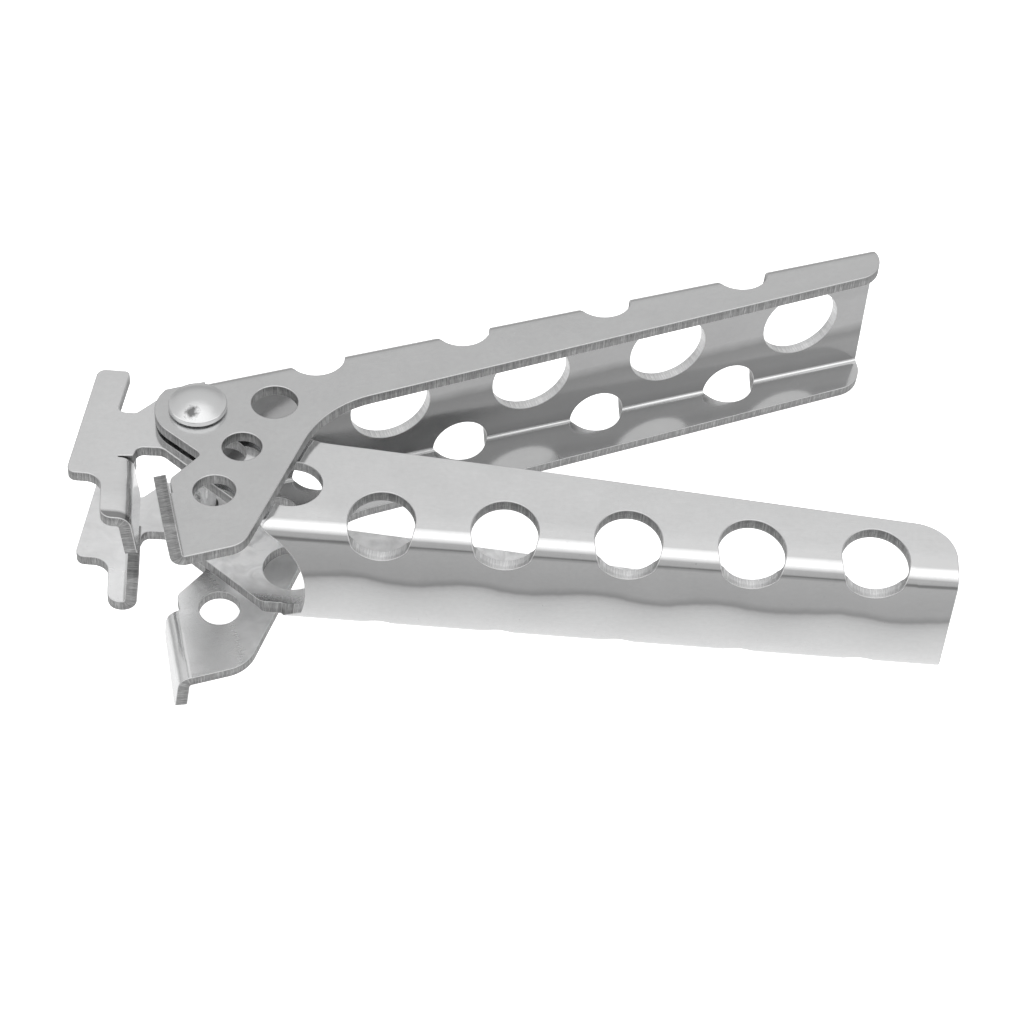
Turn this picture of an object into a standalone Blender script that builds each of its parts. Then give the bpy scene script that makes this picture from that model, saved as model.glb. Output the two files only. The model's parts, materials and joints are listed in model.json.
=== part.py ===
"""Camping pot gripper: two perforated sheet steel channels that scissor on one long rivet.

Frame: metres, +Z up along the rivet, +X along the inner handle towards its free end,
-Y towards the open jaw. Origin at the centre of the bottom of the bounding box.
Each channel is drawn as its flat blank and then folded: first the jaw tabs, then the flanges.
In the blank, s runs along the handle from the rivet and v across it. On a folded flange,
d is the distance from the outside face of the channel's web.
"""
import math

import bmesh
import bpy
from mathutils import Vector
from mathutils.geometry import tessellate_polygon

MM = 0.001

# Sheet metal
SHEET = 2.0
BEND_INSIDE = 0.8
BEND_OUTSIDE = SHEET + BEND_INSIDE
BEND_NEUTRAL = BEND_INSIDE + SHEET / 2
BEND_STEPS = 6
HOLE_STEPS = 40
ARC_STEP = math.radians(9)

# Jaw tabs: both jaws lean off the square line across their handle, so that they close parallel
TAB_INSIDE = 0.45
TAB_OUTSIDE = SHEET + TAB_INSIDE
TAB_NEUTRAL = TAB_INSIDE + SHEET / 2
TAB_FOLD = math.radians(84)
OUTER_TAB_SKEW = 0.11
INNER_TAB_SKEW = -0.118

# Outer channel
OUTER_HEIGHT = 28.1
OUTER_MIDDLE_Z = -0.55
OUTER_ANGLE = math.radians(22.8)
OUTER_PIVOT_D = 6.8
OUTER_END = 124.6
OUTER_WEB_START = 3.3
OUTER_LOWER_FOLD = math.radians(85.2)
OUTER_BEND_HOLE_FIRST = 22.05
OUTER_BEND_HOLE_PITCH = 25.7
OUTER_BEND_HOLE_RADIUS = 4.95
OUTER_UPPER_ROW_V = 11.15
OUTER_LOWER_ROW_V = -11.8
OUTER_WEB_HOLE_FIRST = 34.7
OUTER_WEB_HOLE_RADIUS = 7.1
OUTER_HEAD_RADIUS = 7.05
OUTER_HEAD_HOLES = ((12.35, 8.95, 3.83), (4.5, 17.4, 3.23), (-2.3, 25.7, 3.4))
OUTER_TAB_FOLD_S = -10.25
OUTER_TAB_FAR_D = 24.3
OUTER_TAB_NEAR_D = 38.3
OUTER_UPPER_TAB = (8.15, 8.0, 0.6)
OUTER_LOWER_TAB = (8.1, 4.8, 0.1)
OUTER_CORNERS = (4.5, 6.5)

# Inner channel
INNER_HEIGHT = 21.8
INNER_PIVOT_D = 23.5
INNER_END = 123.6
INNER_BEND_HOLE_FIRST = 31.9
INNER_BEND_HOLE_PITCH = 19.65
INNER_BEND_HOLES = 5
INNER_UPPER_HOLE = (12.0, 5.4, 6.3)
INNER_LOWER_HOLE = (-13.9, 5.2, 5.2)
INNER_HEAD_HOLES = ((16.8, 10.5, 4.95), (5.4, 16.1, 3.3))
INNER_TAB_FOLD_S = -9.9
INNER_TAB_FAR_D = 13.6
INNER_UPPER_TAB = 8.8
INNER_LOWER_TAB = 6.9
INNER_TAB_SLIT = 0.3
INNER_WEB_CUT = (2.1, -3.2, 17.9)

# Rivet
SHANK_RADIUS = 2.3
SHANK_HOLE_RADIUS = 2.6
SPLAYED_HOLE_RADIUS = 2.8
HEAD_RADIUS = 4.78
HEAD_GAP = 0.3
HEAD_RIM = 0.85
HEAD_HEIGHT = 2.3
TAIL_RADIUS = 3.7
TAIL_HEIGHT = 1.5
TURN_STEPS = 64


def rounded(corners):
    """Points of the open path through (x, y, radius) corners, with each corner replaced by its arc."""
    path = []
    for i, (x, y, radius) in enumerate(corners):
        here = Vector((x, y))
        if radius == 0 or i == 0 or i == len(corners) - 1:
            path.append((x, y))
            continue
        before = (Vector(corners[i - 1][:2]) - here).normalized()
        after = (Vector(corners[i + 1][:2]) - here).normalized()
        half = before.angle(after) / 2
        reach = radius / math.tan(half)
        middle = here + (before + after).normalized() * radius / math.sin(half)
        first = here + before * reach - middle
        turn = math.pi - 2 * half
        steps = max(1, math.ceil(turn / ARC_STEP))
        way = 1 if before.x * after.y - before.y * after.x < 0 else -1
        for k in range(steps + 1):
            a = way * turn * k / steps
            path.append((
                middle.x + first.x * math.cos(a) - first.y * math.sin(a),
                middle.y + first.x * math.sin(a) + first.y * math.cos(a),
            ))
    return path


def oval(x, y, rx, ry):
    return [
        (x + rx * math.cos(2 * math.pi * k / HOLE_STEPS), y + ry * math.sin(2 * math.pi * k / HOLE_STEPS))
        for k in range(HOLE_STEPS)
    ]


class Channel:
    """A U channel: web height and the fold angle of its upper and lower flange."""

    def __init__(self, height, upper_fold, lower_fold, flat_before):
        self.flat = height / 2 - BEND_OUTSIDE
        self.fold = {1: upper_fold, -1: lower_fold}
        self.flat_before = flat_before

    def arc(self, side):
        return BEND_NEUTRAL * self.fold[side]

    def v(self, d, side):
        """Blank coordinate of a point at distance d on the flange of this side."""
        return side * (self.flat + self.arc(side) + d - BEND_OUTSIDE)

    def place(self, s, v, w):
        """(s, d, z) of a point w below the outside surface of the blank, after folding the flanges."""
        side = 1 if v > 0 else -1
        past = abs(v) - self.flat
        radius = BEND_OUTSIDE - w
        fold = self.fold[side]
        arc = self.arc(side)
        if past <= 0:
            return s, w, v
        if past < arc and s > self.flat_before:
            a = past / BEND_NEUTRAL
            return s, BEND_OUTSIDE - radius * math.cos(a), side * (self.flat + radius * math.sin(a))
        run = past - arc
        d = BEND_OUTSIDE - radius * math.cos(fold) + run * math.sin(fold)
        z = self.flat + radius * math.sin(fold) + run * math.cos(fold)
        return s, d, side * z


class TabLine:
    """Line in the blank that a tab folds about, through (s, v), and the unit direction across it into the tab."""

    def __init__(self, s, v, across_s, across_v):
        self.start = Vector((s, v))
        self.across = Vector((across_s, across_v)).normalized()

    def cuts(self):
        cuts = []
        for k in range(BEND_STEPS + 1):
            point = self.start + self.across * TAB_NEUTRAL * TAB_FOLD * k / BEND_STEPS
            cuts.append(((point.x, point.y, 0), (self.across.x, self.across.y, 0)))
        return cuts

    def fold(self, s, v, w, outward):
        """(s, v, w) of a point of the blank once its tab is folded; other points stay."""
        past = (Vector((s, v)) - self.start).dot(self.across)
        if past <= 0:
            return s, v, w
        a = min(past / TAB_NEUTRAL, TAB_FOLD)
        run = max(past - TAB_NEUTRAL * TAB_FOLD, 0.0)
        if outward:
            radius = TAB_INSIDE + w
            level = -TAB_INSIDE + radius * math.cos(a) - run * math.sin(TAB_FOLD)
        else:
            radius = TAB_OUTSIDE - w
            level = TAB_OUTSIDE - radius * math.cos(a) + run * math.sin(TAB_FOLD)
        shift = radius * math.sin(a) + run * math.cos(TAB_FOLD) - past
        return s + self.across.x * shift, v + self.across.y * shift, level


def plate(outline, holes):
    """Closed flat blank of the outline less the holes, with w from 0 to the sheet thickness."""
    loops = [outline] + holes
    flat = [point for loop in loops for point in loop]
    triangles = tessellate_polygon([[Vector((x, y, 0)) for x, y in loop] for loop in loops])
    mesh = bmesh.new()
    near = [mesh.verts.new((x, y, 0)) for x, y in flat]
    far = [mesh.verts.new((x, y, SHEET)) for x, y in flat]
    for a, b, c in triangles:
        mesh.faces.new((near[a], near[b], near[c]))
        mesh.faces.new((far[c], far[b], far[a]))
    start = 0
    for loop in loops:
        count = len(loop)
        for k in range(count):
            a = start + k
            b = start + (k + 1) % count
            mesh.faces.new((near[a], near[b], far[b], far[a]))
        start += count
    return mesh


def score(mesh, cuts, side, limit):
    """Cut the faces whose blank coordinate v lies beyond limit on this side (0 for all) along each plane."""
    for point, normal in cuts:
        faces = [f for f in mesh.faces if side == 0 or all(v.co.y * side > limit for v in f.verts)]
        edges = {edge for face in faces for edge in face.edges}
        verts = {vert for face in faces for vert in face.verts}
        geometry = list(verts) + list(edges) + faces
        bmesh.ops.bisect_plane(mesh, geom=geometry, dist=1e-5, plane_co=point, plane_no=normal)


def bend_cuts(channel):
    cuts = []
    for side in (1, -1):
        for k in range(BEND_STEPS + 1):
            v = side * (channel.flat + channel.arc(side) * k / BEND_STEPS)
            cuts.append(((0, v, 0), (0, 1, 0)))
    return cuts


def add_object(name, mesh, base_color, roughness):
    bmesh.ops.remove_doubles(mesh, verts=mesh.verts[:], dist=1e-7)
    bmesh.ops.recalc_face_normals(mesh, faces=mesh.faces[:])
    for face in mesh.faces:
        face.smooth = True
    data = bpy.data.meshes.new(name)
    mesh.to_mesh(data)
    mesh.free()
    data.set_sharp_from_angle(angle=math.radians(35))
    obj = bpy.data.objects.new(name, data)
    bpy.context.scene.collection.objects.link(obj)
    material = bpy.data.materials.new(name + "_steel")
    material.use_nodes = True
    shader = material.node_tree.nodes["Principled BSDF"]
    shader.inputs["Base Color"].default_value = base_color
    shader.inputs["Metallic"].default_value = 1.0
    shader.inputs["Roughness"].default_value = roughness
    data.materials.append(material)
    return obj


def outer_tab_line(channel, side):
    return TabLine(OUTER_TAB_FOLD_S, channel.v(OUTER_TAB_NEAR_D, side), -1.0, -OUTER_TAB_SKEW * side)


def outer_half(channel, side, tab, corner):
    """Outline of one flange of the outer channel, from its free end round to the start of the web."""
    near_length, far_length, far_spread = tab
    far_fold_s = OUTER_TAB_FOLD_S + (OUTER_TAB_NEAR_D - OUTER_TAB_FAR_D) * OUTER_TAB_SKEW
    edge = rounded((
        (OUTER_END, 0.0, 0),
        (OUTER_END, 7.6, 5.5),
        (19.8, 12.2, 18.0),
        (-1.0, OUTER_TAB_NEAR_D, corner),
        (OUTER_TAB_FOLD_S, OUTER_TAB_NEAR_D, 0),
        (OUTER_TAB_FOLD_S - near_length, OUTER_TAB_NEAR_D - near_length * OUTER_TAB_SKEW, 1.3),
        (far_fold_s - far_length, OUTER_TAB_FAR_D + far_spread, 1.2),
        (far_fold_s, OUTER_TAB_FAR_D, 0.3),
        (-8.4, 21.2, 1.6),
        (-2.3, 17.3, 0.9),
        (-2.6, 16.4, 0.4),
        (-6.17, 10.21, 0),
    ))[1:-1]
    first = math.radians(151.1)
    last = math.radians(236.5)
    for k in range(12):
        a = first + (last - first) * k / 11
        edge.append((OUTER_HEAD_RADIUS * math.cos(a), OUTER_PIVOT_D + OUTER_HEAD_RADIUS * math.sin(a)))
    relief = OUTER_WEB_START - 0.6
    edge.append((relief, OUTER_PIVOT_D + OUTER_HEAD_RADIUS * math.sin(last)))
    edge.append((relief, BEND_OUTSIDE + 0.4))
    edge.append((OUTER_WEB_START, BEND_OUTSIDE + 0.4))
    return [(s, channel.v(d, side)) for s, d in edge]


def outer_handle():
    channel = Channel(OUTER_HEIGHT, math.pi / 2, OUTER_LOWER_FOLD, OUTER_WEB_START - 0.3)
    upper = outer_half(channel, 1, OUTER_UPPER_TAB, OUTER_CORNERS[0])
    lower = outer_half(channel, -1, OUTER_LOWER_TAB, OUTER_CORNERS[1])
    holes = []
    for k in range(4):
        s = OUTER_BEND_HOLE_FIRST + OUTER_BEND_HOLE_PITCH * k
        for v in (OUTER_UPPER_ROW_V, OUTER_LOWER_ROW_V):
            holes.append(oval(s, v, OUTER_BEND_HOLE_RADIUS, OUTER_BEND_HOLE_RADIUS))
        s = OUTER_WEB_HOLE_FIRST + OUTER_BEND_HOLE_PITCH * k
        holes.append(oval(s, -OUTER_MIDDLE_Z, OUTER_WEB_HOLE_RADIUS, OUTER_WEB_HOLE_RADIUS))
    for side, pivot_radius in ((1, SHANK_HOLE_RADIUS), (-1, SPLAYED_HOLE_RADIUS)):
        holes.append(oval(0, channel.v(OUTER_PIVOT_D, side), pivot_radius, pivot_radius))
        for s, d, radius in OUTER_HEAD_HOLES:
            holes.append(oval(s, channel.v(d, side), radius, radius))
    mesh = plate(upper + lower[::-1], holes)
    score(mesh, bend_cuts(channel), 0, 0)
    lines = {side: outer_tab_line(channel, side) for side in (1, -1)}
    for side, line in lines.items():
        score(mesh, line.cuts(), side, channel.v(15.0, 1))
    bmesh.ops.triangulate(mesh, faces=mesh.faces[:])
    turn_x = math.cos(OUTER_ANGLE)
    turn_y = math.sin(OUTER_ANGLE)
    for vert in mesh.verts:
        s, v, w = vert.co
        if abs(v) > channel.v(15.0, 1):
            s, v, w = lines[1 if v > 0 else -1].fold(s, v, w, True)
        s, d, z = channel.place(s, v, w)
        away = OUTER_PIVOT_D - d
        x = s * turn_x - away * turn_y
        y = s * turn_y + away * turn_x
        vert.co = Vector((x, y, z + OUTER_MIDDLE_Z)) * MM
    return add_object("outer_handle", mesh, (0.62, 0.62, 0.61, 1), 0.22)


def inner_tab_line(channel, side):
    return TabLine(INNER_TAB_FOLD_S, channel.v(0.0, side), 1.0, -INNER_TAB_SKEW * side)


def inner_half(channel, side, tab_length):
    """Outline of one flange of the inner channel, from its free end round to the cut end of the web."""
    far_fold_s = INNER_TAB_FOLD_S + INNER_TAB_FAR_D * INNER_TAB_SKEW
    corners = [
        (INNER_END, 0.0, 0),
        (INNER_END, 11.7, 7.0),
        (52.0, 18.0, 90.0),
        (20.3, 20.4, 12.0),
        (0.9, 28.0, 4.4),
        (-7.0, 28.0, 2.4),
        (-10.3, 24.0, 1.2),
        (-13.4, 24.0, 1.2),
        (-12.8, 33.8, 0.8),
        (-18.2, 33.8, 1.5),
        (-19.4, 9.4, 1.5),
        (-13.7, 9.4, 3.0),
        (-12.4, 0.0, 2.3),
        (INNER_TAB_FOLD_S, 0.0, 0),
        (INNER_TAB_FOLD_S + tab_length, -tab_length * INNER_TAB_SKEW, 1.3),
        (far_fold_s + tab_length - 0.3, INNER_TAB_FAR_D - (tab_length - 1.6) * INNER_TAB_SKEW - 0.2, 1.3),
        (far_fold_s - 0.1, INNER_TAB_FAR_D, 0),
        (far_fold_s - 0.1, INNER_TAB_FAR_D + INNER_TAB_SLIT, 0),
        (-9.3, INNER_TAB_FAR_D + INNER_TAB_SLIT - 2.3 * INNER_TAB_SKEW, 0),
        (-8.8, 16.2, 1.3),
        (-4.9, 16.4, 2.2),
    ]
    if side > 0:
        corners += [(11.9, 2.9, 1.0), (13.2, BEND_OUTSIDE - 1.4, 0)]
    else:
        corners += [(12.9, 2.1, 1.5), (15.9, 2.1, 0.4), (16.7, BEND_OUTSIDE - 1.9, 0), (18.5, BEND_OUTSIDE - 2.6, 0)]
    return [(s, channel.v(d, side)) for s, d in rounded(corners)[1:]]


def inner_handle():
    channel = Channel(INNER_HEIGHT, math.pi / 2, math.pi / 2, 5.0)
    upper = inner_half(channel, 1, INNER_UPPER_TAB)
    lower = inner_half(channel, -1, INNER_LOWER_TAB)
    web_end = []
    middle_s, middle_z, radius = INNER_WEB_CUT
    for k in range(13):
        z = channel.flat * (1 - k / 6)
        web_end.append((middle_s + math.sqrt(radius ** 2 - (z - middle_z) ** 2), z))
    holes = []
    for k in range(INNER_BEND_HOLES):
        s = INNER_BEND_HOLE_FIRST + INNER_BEND_HOLE_PITCH * k
        for v, along, across in (INNER_UPPER_HOLE, INNER_LOWER_HOLE):
            holes.append(oval(s, v, along, across))
    for side in (1, -1):
        holes.append(oval(0, channel.v(INNER_PIVOT_D, side), SHANK_HOLE_RADIUS, SHANK_HOLE_RADIUS))
        for s, d, radius in INNER_HEAD_HOLES:
            holes.append(oval(s, channel.v(d, side), radius, radius))
    mesh = plate(upper + web_end + lower[::-1], holes)
    score(mesh, bend_cuts(channel), 0, 0)
    lines = {side: inner_tab_line(channel, side) for side in (1, -1)}
    far_fold_s = INNER_TAB_FOLD_S + INNER_TAB_FAR_D * INNER_TAB_SKEW
    for side, line in lines.items():
        score(mesh, line.cuts(), side, 0)
    bmesh.ops.triangulate(mesh, faces=mesh.faces[:])
    for vert in mesh.verts:
        s, v, w = vert.co
        line = lines[1 if v > 0 else -1]
        far_edge = channel.v(INNER_TAB_FAR_D + INNER_TAB_SLIT / 2, 1) - (s - far_fold_s) * INNER_TAB_SKEW
        if s < 0 and abs(v) < far_edge:
            s, v, w = line.fold(s, v, w, False)
        s, d, z = channel.place(s, v, w)
        vert.co = Vector((s, d - INNER_PIVOT_D, z)) * MM
    return add_object("inner_handle", mesh, (0.62, 0.62, 0.61, 1), 0.22)


def rivet():
    """Solid of revolution: domed head over the outer channel's upper flange, formed tail below its lower one."""
    top = OUTER_HEIGHT / 2 + OUTER_MIDDLE_Z + HEAD_GAP
    splay = math.pi / 2 - OUTER_LOWER_FOLD
    lower = OUTER_HEIGHT / 2 - OUTER_MIDDLE_Z + (OUTER_PIVOT_D - BEND_OUTSIDE + TAIL_RADIUS) * math.tan(splay)
    tail = -(lower + HEAD_GAP)
    rim = top + HEAD_RIM
    rise = HEAD_HEIGHT - HEAD_RIM
    dome_radius = (HEAD_RADIUS ** 2 + rise ** 2) / (2 * rise)
    profile = [
        (TAIL_RADIUS - 1.2, tail - TAIL_HEIGHT),
        (TAIL_RADIUS - 0.4, tail - TAIL_HEIGHT + 0.25),
        (TAIL_RADIUS, tail - TAIL_HEIGHT + 0.7),
        (TAIL_RADIUS, tail - 0.1),
        (TAIL_RADIUS - 0.1, tail),
        (SHANK_RADIUS, tail),
        (SHANK_RADIUS, top),
        (HEAD_RADIUS - 0.15, top),
        (HEAD_RADIUS, top + 0.15),
        (HEAD_RADIUS, rim - 0.1),
    ]
    for k in range(8):
        radius = (HEAD_RADIUS - 0.08) * (1 - k / 8)
        profile.append((radius, rim + rise - dome_radius + math.sqrt(dome_radius ** 2 - radius ** 2)))
    mesh = bmesh.new()
    rings = []
    for radius, z in profile:
        ring = []
        for k in range(TURN_STEPS):
            a = 2 * math.pi * k / TURN_STEPS
            ring.append(mesh.verts.new((radius * math.cos(a) * MM, radius * math.sin(a) * MM, z * MM)))
        rings.append(ring)
    for below, above in zip(rings, rings[1:]):
        for k in range(TURN_STEPS):
            n = (k + 1) % TURN_STEPS
            mesh.faces.new((below[k], below[n], above[n], above[k]))
    bottom = mesh.verts.new((0, 0, (tail - TAIL_HEIGHT) * MM))
    crown = mesh.verts.new((0, 0, (rim + rise) * MM))
    for k in range(TURN_STEPS):
        n = (k + 1) % TURN_STEPS
        mesh.faces.new((rings[0][n], rings[0][k], bottom))
        mesh.faces.new((rings[-1][k], rings[-1][n], crown))
    return add_object("pivot_rivet", mesh, (0.66, 0.66, 0.65, 1), 0.15)


def main():
    for obj in list(bpy.data.objects):
        bpy.data.objects.remove(obj, do_unlink=True)
    parts = [outer_handle(), inner_handle(), rivet()]
    corners = [vert.co for obj in parts for vert in obj.data.vertices]
    low = Vector([min(c[i] for c in corners) for i in range(3)])
    high = Vector([max(c[i] for c in corners) for i in range(3)])
    pivot = -Vector(((low.x + high.x) / 2, (low.y + high.y) / 2, low.z))
    for obj in parts:
        obj.location = pivot
    print("pivot", tuple(round(c, 6) for c in pivot))
    print("size", tuple(round(c, 6) for c in high - low))


main()
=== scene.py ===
"""Looks of the camping pot gripper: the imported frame's sheet pieces remade with rounded, sheared edges.

The sheet pieces are drawn as flat blanks and folded like the frame's own, at a finer step, and each
cut edge gets its rolled corner, its burr and its shear marks. The pieces' sizes are in millimetres until
their points are written, and they are placed from the rivet's axis, which the frame gives. The camera's
and the floor's sizes are in metres.
"""
import json
import math

import bmesh
import bpy
from mathutils import Matrix, Vector
from mathutils.geometry import tessellate_polygon

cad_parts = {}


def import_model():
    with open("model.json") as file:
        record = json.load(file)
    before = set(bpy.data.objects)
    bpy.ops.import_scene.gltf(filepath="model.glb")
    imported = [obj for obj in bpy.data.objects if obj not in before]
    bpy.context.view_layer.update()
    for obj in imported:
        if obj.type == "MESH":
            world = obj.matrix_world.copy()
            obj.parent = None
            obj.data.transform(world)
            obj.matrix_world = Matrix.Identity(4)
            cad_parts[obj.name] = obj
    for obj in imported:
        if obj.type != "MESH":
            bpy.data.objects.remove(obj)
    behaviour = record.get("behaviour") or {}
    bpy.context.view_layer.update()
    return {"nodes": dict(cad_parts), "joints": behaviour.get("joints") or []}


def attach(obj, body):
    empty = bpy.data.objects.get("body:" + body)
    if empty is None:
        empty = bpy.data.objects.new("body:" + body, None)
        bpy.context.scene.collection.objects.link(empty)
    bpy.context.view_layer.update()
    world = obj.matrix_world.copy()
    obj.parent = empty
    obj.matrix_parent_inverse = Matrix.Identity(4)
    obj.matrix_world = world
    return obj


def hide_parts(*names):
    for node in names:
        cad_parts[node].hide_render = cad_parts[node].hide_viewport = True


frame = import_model()

MM = 0.001

# Cut edges: the punch rolls the outer corner over and leaves a small burr on the inner one. A flat margin
# beside each keeps its shading off the face of the sheet.
EDGE_ROLL = 0.13
EDGE_BURR = 0.07
EDGE_MARGIN = 0.06
MITRE_LIMIT = 0.35
SAME_POINT = 1e-4

# Material slots of a sheet piece
OUTSIDE, INSIDE, SHEARED, CORNER = 0, 1, 2, 3

# Sheet metal
SHEET = 2.0
BEND_INSIDE = 0.8
BEND_OUTSIDE = SHEET + BEND_INSIDE
BEND_NEUTRAL = BEND_INSIDE + SHEET / 2
BEND_STEPS = 10
HOLE_STEPS = 72
ARC_STEP = math.radians(5)

# Jaw tabs: both jaws lean off the square line across their handle, so that they close parallel
TAB_INSIDE = 0.45
TAB_OUTSIDE = SHEET + TAB_INSIDE
TAB_NEUTRAL = TAB_INSIDE + SHEET / 2
TAB_FOLD = math.radians(84)
OUTER_TAB_SKEW = 0.11
INNER_TAB_SKEW = -0.118

# Outer channel. Head holes are (s, d, radius), tabs (near length, far length, far spread), and the corners
# the radii of the upper and lower head plate.
OUTER_HEIGHT = 28.1
OUTER_MIDDLE_Z = -0.55
OUTER_ANGLE = math.radians(22.8)
OUTER_PIVOT_D = 6.8
OUTER_END = 124.6
OUTER_WEB_START = 3.3
OUTER_RELIEF = 0.6
OUTER_LOWER_FOLD = math.radians(85.2)
OUTER_BEND_HOLE_FIRST = 22.05
OUTER_BEND_HOLE_PITCH = 25.7
OUTER_BEND_HOLES = 4
OUTER_BEND_HOLE_RADIUS = 4.95
OUTER_UPPER_ROW_V = 11.15
OUTER_LOWER_ROW_V = -11.8
OUTER_WEB_HOLE_FIRST = 34.7
OUTER_WEB_HOLE_RADIUS = 7.1
OUTER_HEAD_RADIUS = 7.05
OUTER_HEAD_ARC = (math.radians(151.1), math.radians(236.5))
OUTER_HEAD_STEPS = 23
OUTER_HEAD_HOLES = ((12.35, 8.95, 3.83), (4.5, 17.4, 3.23), (-2.3, 25.7, 3.4))
OUTER_TAB_FOLD_S = -10.25
OUTER_TAB_FAR_D = 24.3
OUTER_TAB_NEAR_D = 38.3
OUTER_TAB_ZONE_D = 15.0
OUTER_UPPER_TAB = (8.15, 8.0, 0.6)
OUTER_LOWER_TAB = (8.1, 4.8, 0.1)
OUTER_CORNERS = (4.5, 6.5)

# Inner channel. Bend holes are (v, half length along s, half length along v), and the cut that ends the web
# is (middle s, middle z, radius).
INNER_HEIGHT = 21.8
INNER_PIVOT_D = 23.5
INNER_END = 123.6
INNER_BEND_HOLE_FIRST = 31.9
INNER_BEND_HOLE_PITCH = 19.65
INNER_BEND_HOLES = 5
INNER_UPPER_HOLE = (12.0, 5.4, 6.3)
INNER_LOWER_HOLE = (-13.9, 5.2, 5.2)
INNER_HEAD_HOLES = ((16.8, 10.5, 4.95), (5.4, 16.1, 3.3))
INNER_TAB_FOLD_S = -9.9
INNER_TAB_FAR_D = 13.6
INNER_UPPER_TAB = 8.8
INNER_LOWER_TAB = 6.9
INNER_TAB_SLIT = 0.3
INNER_WEB_CUT = (2.1, -3.2, 17.9)
INNER_WEB_CUT_STEPS = 24
INNER_FLAT_BEFORE = 5.0

# Rivet
SHANK_RADIUS = 2.3
SHANK_HOLE_RADIUS = 2.6
SPLAYED_HOLE_RADIUS = 2.8
HEAD_RADIUS = 4.78
HEAD_GAP = 0.3
HEAD_RIM = 0.85
HEAD_HEIGHT = 2.3
HEAD_CORNER = 0.35
TAIL_RADIUS = 3.7
TAIL_HEIGHT = 1.5
TAIL_CORNER = 0.7
DIMPLE_RADIUS = 0.9
DIMPLE_DEPTH = 0.25
RIVET_BREAK = 0.15
TURN_STEPS = 128


def rounded(corners):
    """Points of the open path through (x, y, radius) corners, with each corner replaced by its arc."""
    path = []
    for i, (x, y, radius) in enumerate(corners):
        here = Vector((x, y))
        if radius == 0 or i == 0 or i == len(corners) - 1:
            path.append((x, y))
            continue
        before = (Vector(corners[i - 1][:2]) - here).normalized()
        after = (Vector(corners[i + 1][:2]) - here).normalized()
        half = before.angle(after) / 2
        reach = radius / math.tan(half)
        middle = here + (before + after).normalized() * radius / math.sin(half)
        first = here + before * reach - middle
        turn = math.pi - 2 * half
        steps = max(1, math.ceil(turn / ARC_STEP))
        way = 1 if before.x * after.y - before.y * after.x < 0 else -1
        for k in range(steps + 1):
            a = way * turn * k / steps
            path.append((
                middle.x + first.x * math.cos(a) - first.y * math.sin(a),
                middle.y + first.x * math.sin(a) + first.y * math.cos(a),
            ))
    return path


def oval(x, y, rx, ry):
    return [
        (x + rx * math.cos(2 * math.pi * k / HOLE_STEPS), y + ry * math.sin(2 * math.pi * k / HOLE_STEPS))
        for k in range(HOLE_STEPS)
    ]


class Channel:
    """A U channel: web height, the fold angle of its upper and lower flange, and the s before which the blank
    has no web and so its flanges start flat. Its points are (s, d, z): s along the handle, d from the outside
    of the web, z from the middle of the web."""

    def __init__(self, height, upper_fold, lower_fold, flat_before):
        self.flat = height / 2 - BEND_OUTSIDE
        self.fold = {1: upper_fold, -1: lower_fold}
        self.flat_before = flat_before

    def arc(self, side):
        return BEND_NEUTRAL * self.fold[side]

    def v(self, d, side):
        """Blank coordinate of a point at distance d on the flange of this side."""
        return side * (self.flat + self.arc(side) + d - BEND_OUTSIDE)

    def place(self, s, v, w):
        """(s, d, z) of a point w below the outside surface of the blank, after folding the flanges."""
        side = 1 if v > 0 else -1
        past = abs(v) - self.flat
        radius = BEND_OUTSIDE - w
        fold = self.fold[side]
        arc = self.arc(side)
        if past <= 0:
            return s, w, v
        if past < arc and s > self.flat_before:
            a = past / BEND_NEUTRAL
            return s, BEND_OUTSIDE - radius * math.cos(a), side * (self.flat + radius * math.sin(a))
        run = past - arc
        d = BEND_OUTSIDE - radius * math.cos(fold) + run * math.sin(fold)
        z = self.flat + radius * math.sin(fold) + run * math.cos(fold)
        return s, d, side * z


class TabLine:
    """Fold line of a tab in the blank, through (s, v), and the unit direction across it into the tab."""

    def __init__(self, s, v, across_s, across_v):
        self.start = Vector((s, v))
        self.across = Vector((across_s, across_v)).normalized()

    def cuts(self):
        cuts = []
        for k in range(BEND_STEPS + 1):
            point = self.start + self.across * TAB_NEUTRAL * TAB_FOLD * k / BEND_STEPS
            cuts.append(((point.x, point.y, 0), (self.across.x, self.across.y, 0)))
        return cuts

    def fold(self, s, v, w, outward):
        """(s, v, w) of a point of the blank once its tab is folded, towards the outside surface if outward
        and the inside one if not; points before the fold stay."""
        past = (Vector((s, v)) - self.start).dot(self.across)
        if past <= 0:
            return s, v, w
        a = min(past / TAB_NEUTRAL, TAB_FOLD)
        run = max(past - TAB_NEUTRAL * TAB_FOLD, 0.0)
        if outward:
            radius = TAB_INSIDE + w
            level = -TAB_INSIDE + radius * math.cos(a) - run * math.sin(TAB_FOLD)
        else:
            radius = TAB_OUTSIDE - w
            level = TAB_OUTSIDE - radius * math.cos(a) + run * math.sin(TAB_FOLD)
        shift = radius * math.sin(a) + run * math.cos(TAB_FOLD) - past
        return s + self.across.x * shift, v + self.across.y * shift, level


def turned(loop, way):
    """The closed loop without repeated points, running anticlockwise for way 1 and clockwise for -1."""
    clean = []
    for x, y in loop:
        if not clean or math.hypot(x - clean[-1][0], y - clean[-1][1]) > SAME_POINT:
            clean.append((x, y))
    if math.hypot(clean[0][0] - clean[-1][0], clean[0][1] - clean[-1][1]) < SAME_POINT:
        clean.pop()
    area = sum(a[0] * b[1] - b[0] * a[1] for a, b in zip(clean, clean[1:] + clean[:1]))
    return clean if area * way > 0 else clean[::-1]


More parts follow.
